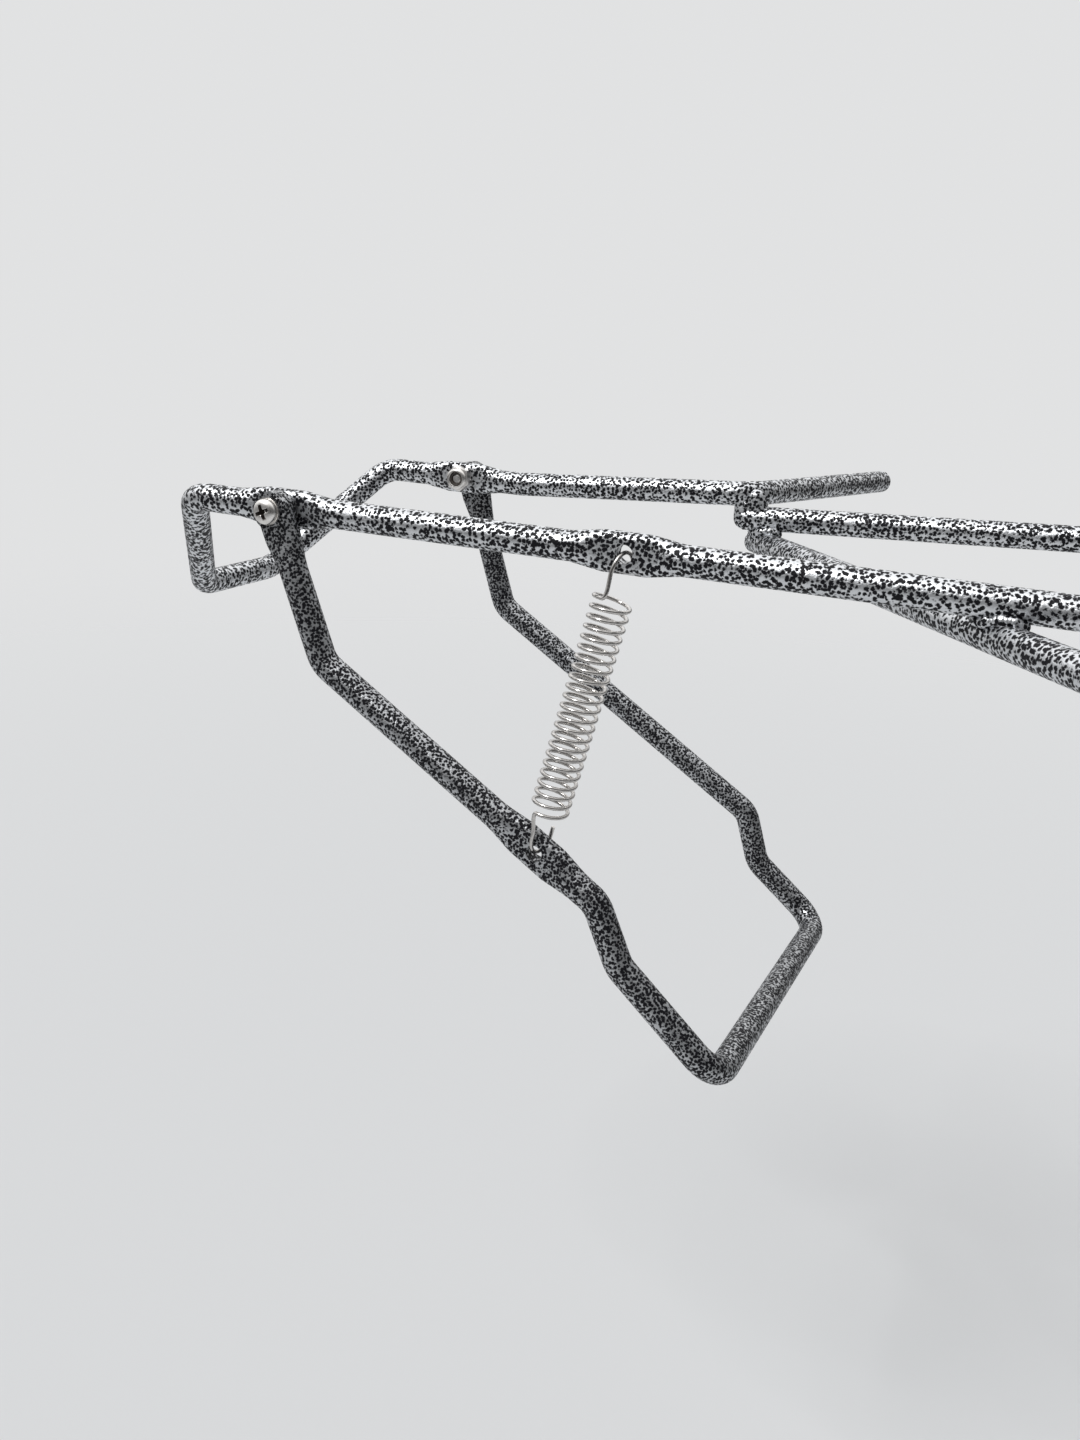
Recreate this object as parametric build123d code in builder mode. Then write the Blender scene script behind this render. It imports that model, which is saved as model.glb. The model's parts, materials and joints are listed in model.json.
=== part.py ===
"""Sprung wheel holder of a bicycle stand: a bent loop bar, a sprung U-arm and a post clamp (mm)."""
import os
from math import asin, cos, radians, sin

from build123d import *

os.makedirs("parts", exist_ok=True)

# ---- driving sizes ----
bar_d = 8.0               # round bar of the whole holder
loop_width = 112.0        # leg to leg, centre to centre
bend_radius = 9.0         # centre-line radius of every bend in the bars
pivot_to_rear = 228.0     # pivot axis to the axis of the cross tube
pivot_to_nose = 32.0      # pivot axis to where the nose bends
nose_forward = 26.0
nose_drop = 35.0
nose_bar = 38.0           # corner to corner of the short front bar
far_leg = 106.0           # pivot axis to where the far leg bends out to the side
far_rise = 5.4            # how far the far leg has risen at that bend
side_leg = 95.0           # length of the far leg past its bend
side_turn = 72.0          # angle between that length and the legs, degrees
spring_hole_x = 101.0     # pivot axis to the spring hole in the near leg

# ---- pressed flats in the bars ----
flat_thick = 5.0
flat_tall = 10.7
flat_land = 12.0          # length of the full flat
flat_taper = 9.0          # length of each run-out
flat_square = 0.4         # straight part left on each narrow edge
ear_round = 8.0           # pivot to where the arm's ear starts to run out

# ---- sprung arm, from the pivot axis, side view (forward is -X) ----
knee = (16.5, -41.0)
hip = (103.0, -94.0)
shin = (111.0, -111.0)
toe = (141.0, -137.0)
far_knee = (16.0, -46.5)  # the far leg is bent a little longer than the near one
far_hip = (116.0, -108.0)
far_shin = (122.0, -126.0)
far_toe = (146.0, -145.0)
arm_hole_share = 0.79     # spring hole, as a share of the slanted run

# ---- pivot hardware (number 6 machine screws) ----
screw_d = 3.5
screw_play = 0.05         # radial, screw in the arm's ear and in the leg
spacer_t = 0.8
washer_t = 0.8
washer_d = 7.6
washer_play = 0.15        # radial, screw in its washers
side_play = 0.3           # free gap on each side of the arm's ear
head_d = 6.9
head_h = 2.5
head_rim = 1.0            # straight height of the head below its dome
nut_af = 8.0
nut_h = 5.0
collar_h = 1.5            # round collar over the nylon ring
collar_edge = 0.2         # collar in from the nut's flats, and its chamfer
screw_tip = 1.2           # thread showing past the nut
tip_chamfer = 0.5
recess_d = 4.0
recess_depth = 1.6
recess_w = 0.8            # width of each slot of the cross

# ---- extension spring ----
wire_d = 1.1
spring_od = 11.0
coils = 22
hook_radius = 4.0
hook_reach = 12.0         # end of the coils to the centre of the hole
hook_lift = 0.2           # wire's middle past the centre of the hole
hook_lean = 20.0          # turn of the hooks about the spring's axis, degrees
spring_hole_d = 4.8

# ---- rear frame and post clamp ----
cross_d = 22.0
cross_wall = 2.0
cross_length = 150.0
plug_cap = 2.5
cap_edge = 1.2            # chamfer round the plug's cap
cap_inset = 0.2           # cap in from the tube's outside
plug_depth = 12.0
plug_play = 0.1
plug_wall = 1.6           # wall of the plug's sleeve
plug_ribs = 3
rib_h = 0.8               # ribs out from the sleeve
rib_w = 1.0
post_d = 35.0
liner_t = 2.0
clamp_t = 3.5
clamp_height = 40.0
clamp_gap = 3.0           # between the two halves, bolts drawn up
ear_length = 17.0
ear_corner = 6.0          # corner radius of the bolt flanges
saddle_h = 17.6           # block between the cross tube and the clamp
saddle_w = 30.0
saddle_into = 3.0         # how far the block runs on over the tube
clamp_bolt_d = 6.0
clamp_bolt_play = 0.3
clamp_bolt_af = 10.0
clamp_bolt_head = 4.0
clamp_washer_d = 12.0
clamp_washer_t = 1.2
clamp_nut_h = 5.0
bolt_past_nut = 2.0
rod_ahead = 2.0           # carrier rod's front end ahead of the far leg's bend
brace_lean = 55.0         # angle of the brace to the legs, degrees
brace_past = 42.0         # brace past the near leg
edge = 0.6                # chamfer on the clamp bolts' ends
tube_edge = 0.3           # broken edge of the cross tube's ends

# ---- places worked out from the sizes ----
clamp_r = post_d / 2 + liner_t + clamp_t
cross_x = -(clamp_r + cross_d / 2)
pivot_x = cross_x - pivot_to_rear
leg_z = bar_d / 2
leg_y = loop_width / 2
arm_y = leg_y + flat_thick / 2 + spacer_t + side_play + flat_thick / 2
head_y = arm_y + flat_thick / 2 + side_play + washer_t


def at_pivot(x, y, z):
    """A place given from the pivot axis, in the part's frame."""
    return Vector(pivot_x + x, y, leg_z + z)


def bent_path(points, radius):
    """Lines through the points, each inner corner rounded with an arc."""
    points = [Vector(*p) for p in points]
    start = points[0]
    for before, corner, after in zip(points, points[1:], points[2:]):
        into = (before - corner).normalized()
        out = (after - corner).normalized()
        half_turn = into.get_angle(out) / 2
        half = radians(half_turn)
        back = radius * cos(half) / sin(half)
        to_centre = (into + out).normalized()
        middle = corner + to_centre * (radius / sin(half) - radius)
        Line(start, corner + into * back)
        ThreePointArc(corner + into * back, middle, corner + out * back)
        start = corner + out * back
    Line(start, points[-1])


def sweep_bar(points):
    """Round bar along the points, added to the part being built."""
    with BuildLine() as run:
        bent_path(points, bend_radius)
    with BuildSketch(run.line ^ 0) as round_end:
        Circle(bar_d / 2)
    sweep(round_end.sketch, path=run.line)


def bar_section(centre, along, flat):
    """Round section, or the pressed flat one with its height across the bar and in the XZ plane."""
    with BuildSketch(Plane(centre, x_dir=(0, 1, 0), z_dir=along)) as section:
        if flat:
            RectangleRounded(flat_thick, flat_tall, flat_thick / 2 - flat_square)
        else:
            Circle(bar_d / 2)
    return section


def press_flat(centre, along):
    """Pressed flat with a run-out to the round bar at both ends, added to the part being built."""
    along = Vector(*along).normalized()
    inner, outer = flat_land / 2, flat_land / 2 + flat_taper
    land = bar_section(centre - along * inner, along, True)
    extrude(land.sketch, amount=flat_land)
    for side in (-1, 1):
        near = bar_section(centre + along * inner * side, along, True)
        far = bar_section(centre + along * outer * side, along, False)
        loft([near.sketch, far.sketch], ruled=False)


def across(centre, diameter, length):
    """Cut a hole along Y, centred on a place."""
    with Locations(Location(centre, (90, 0, 0))):
        Cylinder(diameter / 2, length, mode=Mode.SUBTRACT)


def dome_arc(rim_r, rim_z, top_z):
    """Arc of a turned dome's profile, from its rim to its level top on the axis."""
    rise = top_z - rim_z
    radius = (rim_r**2 + rise**2) / (2 * rise)
    half = asin(rim_r / radius) / 2
    ThreePointArc((rim_r, rim_z), (radius * sin(half), top_z - radius * (1 - cos(half))), (0, top_z))


flat_span = flat_land / 2 + flat_taper

# ---- wheel loop: one bar, near leg, nose, far leg and its length out to the side ----
far_corner = at_pivot(far_leg, leg_y, far_rise)
side_run = Vector(cos(radians(side_turn)), sin(radians(side_turn)), 0)
nose_front = -(pivot_to_nose + nose_forward)
with BuildPart() as wheel_loop:
    near_end = pivot_to_rear - cross_d / 4
    sweep_bar([at_pivot(spring_hole_x + flat_span, -leg_y, 0), at_pivot(near_end, -leg_y, 0)])
    press_flat(at_pivot(spring_hole_x, -leg_y, 0), (1, 0, 0))
    sweep_bar([at_pivot(flat_span, -leg_y, 0), at_pivot(spring_hole_x - flat_span, -leg_y, 0)])
    press_flat(at_pivot(0, -leg_y, 0), (1, 0, 0))
    sweep_bar([
        at_pivot(-flat_span, -leg_y, 0),
        at_pivot(-pivot_to_nose, -leg_y, 0),
        at_pivot(nose_front, -nose_bar / 2, -nose_drop),
        at_pivot(nose_front, nose_bar / 2, -nose_drop),
        at_pivot(-pivot_to_nose, leg_y, 0),
        at_pivot(-flat_span, leg_y, 0),
    ])
    press_flat(at_pivot(0, leg_y, 0), (1, 0, 0))
    rise_start = at_pivot(flat_span + bar_d, leg_y, 0)
    sweep_bar([at_pivot(flat_span, leg_y, 0), rise_start, far_corner, far_corner + side_run * side_leg])
    across(at_pivot(0, 0, 0), screw_d + 2 * screw_play, 2 * loop_width)
    across(at_pivot(spring_hole_x, -leg_y, 0), spring_hole_d, 2 * flat_thick)
    across((cross_x, 0, 0), cross_d, 2 * loop_width)
wheel_loop.part.label = "wheel_loop"

# ---- sprung arm: one bar, near ear, cross bar under the tyre, far ear ----
near_bends = (knee, hip, shin, toe)
far_bends = (far_knee, far_hip, far_shin, far_toe)
slant = Vector(hip[0] - knee[0], 0, hip[1] - knee[1])
arm_hole = Vector(knee[0], 0, knee[1]) + slant * arm_hole_share
slant_dir = slant.normalized()


def arm_ear(y, bend):
    """Round-ended flat ear on the pivot, running out to the round bar; gives where the bar starts."""
    pivot = at_pivot(0, y, 0)
    down = Vector(bend[0], 0, bend[1]).normalized()
    ear_end = pivot + down * (ear_round + flat_taper)
    with BuildSketch(Plane(pivot, x_dir=(1, 0, 0), z_dir=(0, 1, 0))) as eye:
        Circle(flat_tall / 2)
    extrude(eye.sketch, amount=flat_thick / 2, both=True)
    ear = bar_section(pivot, down, True)
    extrude(ear.sketch, amount=ear_round)
    wide = bar_section(pivot + down * ear_round, down, True)
    narrow = bar_section(ear_end, down, False)
    loft([wide.sketch, narrow.sketch])
    return ear_end


with BuildPart() as sprung_arm:
    near_knee, near_hip, near_shin, near_toe = [at_pivot(x, -arm_y, z) for x, z in near_bends]
    far_run = [at_pivot(x, arm_y, z) for x, z in far_bends]
    spring_eye = at_pivot(arm_hole.X, -arm_y, arm_hole.Z)
    sweep_bar([arm_ear(-arm_y, knee), near_knee, spring_eye - slant_dir * flat_span])
    press_flat(spring_eye, slant_dir)
    sweep_bar([spring_eye + slant_dir * flat_span, near_hip, near_shin, near_toe,
               *far_run[::-1], arm_ear(arm_y, far_knee)])
    across(at_pivot(0, 0, 0), screw_d + 2 * screw_play, 4 * loop_width)
    across(spring_eye, spring_hole_d, 2 * flat_thick)
sprung_arm.part.label = "sprung_arm"

# ---- extension spring: close helix with a hook at each end ----
hook_top = at_pivot(spring_hole_x, -leg_y, 0)
hook_foot = at_pivot(arm_hole.X, -arm_y, arm_hole.Z)
pull = hook_top - hook_foot
body_length = pull.length - 2 * hook_reach
coil_r = (spring_od - wire_d) / 2
hook_wire_r = wire_d / 2 * 1.02
pull_dir = pull.normalized()
hook_turn = radians(hook_lean)
hook_side = Vector(-sin(hook_turn), -cos(hook_turn), 0)
hook_side = (hook_side - pull_dir * pull_dir.dot(hook_side)).normalized()
spring_plane = Plane(hook_foot + pull_dir * hook_reach, x_dir=hook_side, z_dir=pull_dir)


def hook(base_z, up, turn):
    """Half loop of wire from the last coil through its hole, made along Z in the spring's own frame."""
    rise = hook_reach - hook_radius + hook_lift
    start = Vector(coil_r, 0, base_z)
    shoulder = Vector(hook_radius, 0, base_z + up * rise * 0.6)
    bow_z = base_z + up * rise
    tip = Vector(-hook_radius, 0, base_z + up * rise * 0.62)
    with BuildLine() as bow:
        Spline(start, shoulder, tangents=(turn, (0, 0, up)))
        Line(shoulder, (hook_radius, 0, bow_z))
        ThreePointArc((hook_radius, 0, bow_z), (0, 0, bow_z + up * hook_radius), (-hook_radius, 0, bow_z))
        Line((-hook_radius, 0, bow_z), tip)
    with BuildSketch(Plane(start, z_dir=turn)) as wire:
        Circle(hook_wire_r)
    sweep(wire.sketch, path=bow.line)
    with Locations(start):
        Sphere(hook_wire_r)


with BuildPart() as spring_blank:
    helix = Helix(pitch=body_length / coils, height=body_length, radius=coil_r, mode=Mode.PRIVATE)
    with BuildSketch(Plane(helix @ 0, z_dir=helix % 0)) as wire_end:
        RegularPolygon(wire_d / 2, 6)
    sweep(wire_end.sketch, path=helix, is_frenet=True)
    hook(body_length, 1, helix % 1)
    hook(0, -1, (helix % 0) * -1)

with BuildPart() as tension_spring:
    with Locations(spring_plane.location):
        add(spring_blank.part)
tension_spring.part.label = "tension_spring"


# ---- pivot hardware, made on one side and used on both ----
def washer_part(name, y_inner, thickness, side):
    """Flat ring on the pivot axis, from y_inner outwards."""
    with BuildPart(Plane(at_pivot(0, side * y_inner, 0), x_dir=(1, 0, 0), z_dir=(0, side, 0))) as ring:
        Cylinder(washer_d / 2, thickness, align=(Align.CENTER, Align.CENTER, Align.MIN))
        Cylinder(screw_d / 2 + washer_play, thickness, align=(Align.CENTER, Align.CENTER, Align.MIN),
                 mode=Mode.SUBTRACT)
    ring.part.label = name
    return ring


def screw_part(name, side):
    """Cross-recess pan-head screw, head outside the arm's ear."""
    reach = head_y - (leg_y - flat_thick / 2) + nut_h + screw_tip
    outward = Plane(at_pivot(0, side * head_y, 0), x_dir=(1, 0, 0), z_dir=(0, side, 0))
    with BuildPart(outward) as screw:
        with BuildSketch(Plane(outward.origin, x_dir=outward.x_dir, z_dir=outward.y_dir * -1)):
            with BuildLine():
                Polyline((0, -reach), (screw_d / 2 - tip_chamfer, -reach), (screw_d / 2, -reach + tip_chamfer),
                         (screw_d / 2, 0), (head_d / 2, 0), (head_d / 2, head_rim))
                dome_arc(head_d / 2, head_rim, head_h)
                Line((0, head_h), (0, -reach))
            make_face()
        revolve(axis=Axis(outward.origin, outward.z_dir))
        with BuildSketch(outward.offset(head_h)):
            Rectangle(recess_d, recess_w)
            Rectangle(recess_w, recess_d)
        extrude(amount=-recess_depth, mode=Mode.SUBTRACT)
    screw.part.label = name
    return screw


def lock_nut_part(name, side):
    """Nylon-insert nut on the inner face of the leg: hexagon with a domed collar."""
    inward = Plane(at_pivot(0, side * (leg_y - flat_thick / 2), 0), x_dir=(1, 0, 0), z_dir=(0, -side, 0))
    with BuildPart() as nut:
        with BuildSketch(inward):
            RegularPolygon(nut_af / 2, 6, major_radius=False)
        extrude(amount=nut_h - collar_h)
        with BuildSketch(inward.offset(nut_h - collar_h)):
            Circle(nut_af / 2 - collar_edge)
        extrude(amount=collar_h)
        chamfer(nut.edges().filter_by(GeomType.CIRCLE).sort_by(Axis(inward.origin, inward.z_dir))[-1],
                collar_h / 2)
        with BuildSketch(inward):
            Circle(screw_d / 2)
        extrude(amount=nut_h, mode=Mode.SUBTRACT)
    nut.part.label = name
    return nut


pivot_hardware = []
for side, word in ((-1, "near"), (1, "far")):
    pivot_hardware += [
        washer_part(f"{word}_spacer_washer", leg_y + flat_thick / 2, spacer_t, side),
        washer_part(f"{word}_screw_washer", head_y - washer_t, washer_t, side),
        screw_part(f"{word}_pivot_screw", side),
        lock_nut_part(f"{word}_lock_nut", side),
    ]

# ---- carrier rod: welded under the far leg's bend, straight back to the cross tube ----
far_slope = far_rise / far_leg
rod_front = far_corner - Vector(rod_ahead, 0, bar_d)
rod_back_x = cross_x - cross_d / 4
rod_back = Vector(rod_back_x, leg_y, rod_front.Z + (rod_back_x - rod_front.X) * far_slope)
with BuildPart() as carrier_rod:
    sweep_bar([rod_front, rod_back])
    across((cross_x, 0, 0), cross_d, 2 * loop_width)
carrier_rod.part.label = "carrier_rod"

# ---- brace rod: under the carrier rod's front, under the near leg and past it ----
lean = radians(brace_lean)
brace_far = rod_front + Vector(bar_d, 0, -bar_d)
brace_near = Vector(brace_far.X + loop_width * cos(lean) / sin(lean), -leg_y, leg_z - bar_d)
brace_run = (brace_near - brace_far).normalized()
with BuildPart() as brace_rod:
    sweep_bar([brace_far - brace_run * bar_d, brace_near + brace_run * brace_past])
brace_rod.part.label = "brace_rod"

# ---- cross tube and its two plugs ----
with BuildPart() as cross_tube:
    with Locations(Location((cross_x, 0, 0), (90, 0, 0))):
        Cylinder(cross_d / 2, cross_length)
        Cylinder(cross_d / 2 - cross_wall, cross_length, mode=Mode.SUBTRACT)
    chamfer(cross_tube.edges().filter_by(GeomType.CIRCLE), tube_edge)
cross_tube.part.label = "cross_tube"


def plug_part(name, side):
    """Ribbed push-in plug with a chamfered cap, seated on the tube's end."""
    seat = Plane((cross_x, side * cross_length / 2, 0), x_dir=(1, 0, 0), z_dir=(0, side, 0))
    rib_r = cross_d / 2 - cross_wall - plug_play
    sleeve_r = rib_r - rib_h
    with BuildPart() as plug:
        with BuildSketch(seat):
            Circle(cross_d / 2 - cap_inset)
        extrude(amount=plug_cap)
        chamfer(plug.faces().sort_by(Axis(seat.origin, seat.z_dir))[-1].edges(), cap_edge)
        with BuildSketch(seat):
            Circle(sleeve_r)
            Circle(sleeve_r - plug_wall, mode=Mode.SUBTRACT)
        extrude(amount=-plug_depth)
        for rib in range(plug_ribs):
            with BuildSketch(seat.offset(-plug_depth * (rib + 1) / (plug_ribs + 1))):
                Circle(rib_r)
                Circle(sleeve_r - plug_wall / 2, mode=Mode.SUBTRACT)
            extrude(amount=rib_w)
    plug.part.label = name
    return plug


plugs = [plug_part("near_tube_plug", -1), plug_part("far_tube_plug", 1)]


# ---- post clamp: two pressed halves with flanges, rubber liners, bolts along X ----
def clamp_half_part(name, side):
    """Half shell with two bolt flanges; side -1 is the half welded to the cross tube."""
    bolt_y = clamp_r + ear_length / 2
    with BuildPart() as half:
        with BuildSketch(Plane.XY.offset(-clamp_height / 2)):
            Circle(clamp_r)
            with Locations((side * (clamp_gap + clamp_t) / 2, 0)):
                Rectangle(clamp_t, 2 * (clamp_r + ear_length))
            Circle(post_d / 2 + liner_t, mode=Mode.SUBTRACT)
            with Locations((-side * clamp_r, 0)):
                Rectangle(2 * clamp_r + clamp_gap, 4 * clamp_r, mode=Mode.SUBTRACT)
        extrude(amount=clamp_height)
        corners = half.edges().filter_by(Axis.X).filter_by(lambda e: abs(e.center().Y) > bolt_y)
        fillet(corners, ear_corner)
        if side < 0:
            with BuildSketch(Plane.XY.offset(-saddle_h / 2)):
                with Locations(((cross_x - clamp_r) / 2, 0)):
                    Rectangle(cross_d / 2 + saddle_into, saddle_w)
            extrude(amount=saddle_h)
            across((cross_x, 0, 0), cross_d, 4 * clamp_r)
            Cylinder(post_d / 2 + liner_t, clamp_height, mode=Mode.SUBTRACT)
        with Locations(*[Location((0, y, 0), (0, 90, 0)) for y in (-bolt_y, bolt_y)]):
            Cylinder(clamp_bolt_d / 2 + clamp_bolt_play, 4 * clamp_r, mode=Mode.SUBTRACT)
    half.part.label = name
    return half


def liner_part(name, side):
    """Half ring of rubber between the clamp and the post."""
    with BuildPart() as liner:
        with BuildSketch(Plane.XY.offset(-clamp_height / 2)):
            Circle(post_d / 2 + liner_t)
            Circle(post_d / 2, mode=Mode.SUBTRACT)
            with Locations((-side * clamp_r, 0)):
                Rectangle(2 * clamp_r + clamp_gap, 4 * clamp_r, mode=Mode.SUBTRACT)
        extrude(amount=clamp_height)
    liner.part.label = name
    return liner


def clamp_bolt_parts(word, side):
    """Hexagon bolt with its head on the cap side, two washers and a nut on the welded half."""
    bolt_y = side * (clamp_r + ear_length / 2)
    flange = clamp_gap / 2 + clamp_t
    head_side = Plane((flange + clamp_washer_t, bolt_y, 0), x_dir=(0, 1, 0), z_dir=(1, 0, 0))
    shank = 2 * (flange + clamp_washer_t) + clamp_nut_h + bolt_past_nut
    with BuildPart() as bolt:
        with BuildSketch(head_side):
            RegularPolygon(clamp_bolt_af / 2, 6, major_radius=False)
        extrude(amount=clamp_bolt_head)
        with BuildSketch(head_side):
            Circle(clamp_bolt_d / 2)
        extrude(amount=-shank)
        chamfer(bolt.faces().sort_by(Axis.X)[0].edges(), edge)
    bolt.part.label = f"{word}_clamp_bolt"
    made = [bolt]
    for end, x in (("cap", flange), ("back", -flange - clamp_washer_t)):
        with BuildPart() as ring:
            with BuildSketch(Plane((x, bolt_y, 0), x_dir=(0, 1, 0), z_dir=(1, 0, 0))):
                Circle(clamp_washer_d / 2)
                Circle(clamp_bolt_d / 2 + clamp_bolt_play, mode=Mode.SUBTRACT)
            extrude(amount=clamp_washer_t)
        ring.part.label = f"{word}_clamp_washer_{end}"
        made.append(ring)
    nut_face = Plane((-flange - clamp_washer_t, bolt_y, 0), x_dir=(0, 1, 0), z_dir=(-1, 0, 0))
    with BuildPart() as nut:
        with BuildSketch(nut_face):
            RegularPolygon(clamp_bolt_af / 2, 6, major_radius=False)
            Circle(clamp_bolt_d / 2, mode=Mode.SUBTRACT)
        extrude(amount=clamp_nut_h)
    nut.part.label = f"{word}_clamp_nut"
    return made + [nut]


clamp_parts = [
    clamp_half_part("clamp_back", -1),
    clamp_half_part("clamp_cap", 1),
    liner_part("liner_back", -1),
    liner_part("liner_cap", 1),
    *clamp_bolt_parts("near", -1),
    *clamp_bolt_parts("far", 1),
]

for piece in [wheel_loop, sprung_arm, tension_spring, carrier_rod, brace_rod, cross_tube,
              *plugs, *pivot_hardware, *clamp_parts]:
    export_step(piece.part, f"parts/{piece.part.label}.step")
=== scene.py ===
"""Looks of a sprung wheel holder, from its bent bars to its studio, in the order it is put together."""
import math

import bmesh
import bpy
from mathutils import Matrix, Vector
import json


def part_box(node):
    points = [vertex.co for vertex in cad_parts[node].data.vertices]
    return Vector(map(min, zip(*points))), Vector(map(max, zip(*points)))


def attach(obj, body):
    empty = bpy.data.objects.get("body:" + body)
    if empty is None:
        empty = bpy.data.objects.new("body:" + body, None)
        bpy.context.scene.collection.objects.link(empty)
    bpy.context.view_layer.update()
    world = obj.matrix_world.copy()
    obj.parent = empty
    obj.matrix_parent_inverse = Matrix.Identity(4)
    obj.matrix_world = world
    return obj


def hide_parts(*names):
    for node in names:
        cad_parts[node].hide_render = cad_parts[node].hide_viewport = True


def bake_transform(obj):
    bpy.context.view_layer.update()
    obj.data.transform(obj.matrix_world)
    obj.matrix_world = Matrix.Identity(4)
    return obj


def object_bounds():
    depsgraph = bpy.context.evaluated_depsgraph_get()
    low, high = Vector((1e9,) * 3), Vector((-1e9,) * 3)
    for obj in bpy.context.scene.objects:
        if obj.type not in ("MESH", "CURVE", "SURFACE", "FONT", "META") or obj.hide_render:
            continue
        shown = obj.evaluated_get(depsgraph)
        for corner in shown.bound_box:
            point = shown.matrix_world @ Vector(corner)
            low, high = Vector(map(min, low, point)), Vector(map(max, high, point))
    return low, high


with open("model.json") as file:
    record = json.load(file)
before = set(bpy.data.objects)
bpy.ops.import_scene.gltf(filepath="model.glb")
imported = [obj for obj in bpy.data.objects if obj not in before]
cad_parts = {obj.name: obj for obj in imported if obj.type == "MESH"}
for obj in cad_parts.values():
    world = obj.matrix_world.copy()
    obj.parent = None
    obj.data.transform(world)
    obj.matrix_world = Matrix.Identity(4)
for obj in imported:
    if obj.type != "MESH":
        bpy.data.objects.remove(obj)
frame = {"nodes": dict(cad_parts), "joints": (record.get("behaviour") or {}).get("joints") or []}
cad_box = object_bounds()
nodes = frame["nodes"]
mm = 0.001

# ---- bent bars ----
# The loop, the arm and the rods are 8 mm round steel bar, bent cold and pressed flat at their holes.
# They are coated in hammered powder: bright silver that draws together round black cells, about a
# millimetre apart on the loop and finer on the arm. The arm's copy has duller silver and wider black cells,
# painted shade for an arm that lies in less light.
frame_cell = 1.08 * mm
frame_black = 0.49
frame_silver = 0.70
# The arm's black reach and silver are darker than the loop's: painted shade.
arm_cell = 0.82 * mm
arm_shaded_black = 0.525
arm_shaded_silver = 0.50
cell_black = (0.006, 0.006, 0.008)
cell_rim = (0.03, 0.03, 0.034)
silver_tint = (0.97, 0.99, 1.02)
dull_share = 0.55
cell_order = 0.85
drift_size, drift_share = 0.8, 0.9      # how far cells wander, in cells
grain_size, grain_share = 0.4, 0.26     # ragged edge of a cell
patch_size, patch_share = 9.0, 0.20     # darker and lighter patches of coat
coat_relief = 0.25
edge_soft, silver_full = 0.05, 0.14     # how far the tones run past a cell's edge
metal_from, metal_to = -0.02, 0.04
coat_metallic = 0.9
black_rough, silver_rough = 0.45, 0.36
rough_run = 0.08
coat_specular = 0.12
bump_strength = 0.45


def new_material(name):
    """Material with its principled shader and object coordinates."""
    material = bpy.data.materials.new(name)
    material.use_nodes = True
    tree = material.node_tree
    coords = tree.nodes.new("ShaderNodeTexCoord").outputs["Object"]
    return material, tree, tree.nodes["Principled BSDF"], coords


def noise(tree, coords, cell, detail=2.0, rough=0.5, output="Fac"):
    """Cloudy value from 0 to 1, or colour, with features about one cell wide."""
    node = tree.nodes.new("ShaderNodeTexNoise")
    node.inputs["Scale"].default_value = 1.0 / cell
    node.inputs["Detail"].default_value = detail
    node.inputs["Roughness"].default_value = rough
    tree.links.new(coords, node.inputs["Vector"])
    return node.outputs[output]


def ramp(tree, value, *stops):
    """Colour ramp through (position, grey or colour) stops."""
    node = tree.nodes.new("ShaderNodeValToRGB")
    elements = node.color_ramp.elements
    while len(elements) < len(stops):
        elements.new(0.5)
    for element, (place, tone) in zip(elements, stops):
        element.position = place
        element.color = (*(tone if isinstance(tone, tuple) else (tone,) * 3), 1.0)
    tree.links.new(value, node.inputs["Fac"])
    return node.outputs["Color"]


def scaled_sum(tree, base, extra, factor):
    """base plus factor times extra, as vectors."""
    node = tree.nodes.new("ShaderNodeVectorMath")
    node.operation = "MULTIPLY_ADD"
    node.inputs[1].default_value = (factor,) * 3
    tree.links.new(extra, node.inputs[0])
    tree.links.new(base, node.inputs[2])
    return node.outputs[0]


def value_sum(tree, base, extra, factor):
    """base plus factor times extra, as plain numbers."""
    node = tree.nodes.new("ShaderNodeMath")
    node.operation = "MULTIPLY_ADD"
    node.inputs[1].default_value = factor
    tree.links.new(extra, node.inputs[0])
    tree.links.new(base, node.inputs[2])
    return node.outputs[0]


def cell_centres(tree, coords, cell):
    """Distance to the middle of the nearest cell, in cells."""
    node = tree.nodes.new("ShaderNodeTexVoronoi")
    node.inputs["Scale"].default_value = 1.0 / cell
    node.inputs["Randomness"].default_value = cell_order
    tree.links.new(coords, node.inputs["Vector"])
    return node.outputs["Distance"]


def relief(tree, shader, height, strength, depth):
    """Bump of that depth in metres on the shader."""
    node = tree.nodes.new("ShaderNodeBump")
    node.inputs["Strength"].default_value = strength
    node.inputs["Distance"].default_value = depth
    tree.links.new(height, node.inputs["Height"])
    tree.links.new(node.outputs["Normal"], shader.inputs["Normal"])


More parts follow.
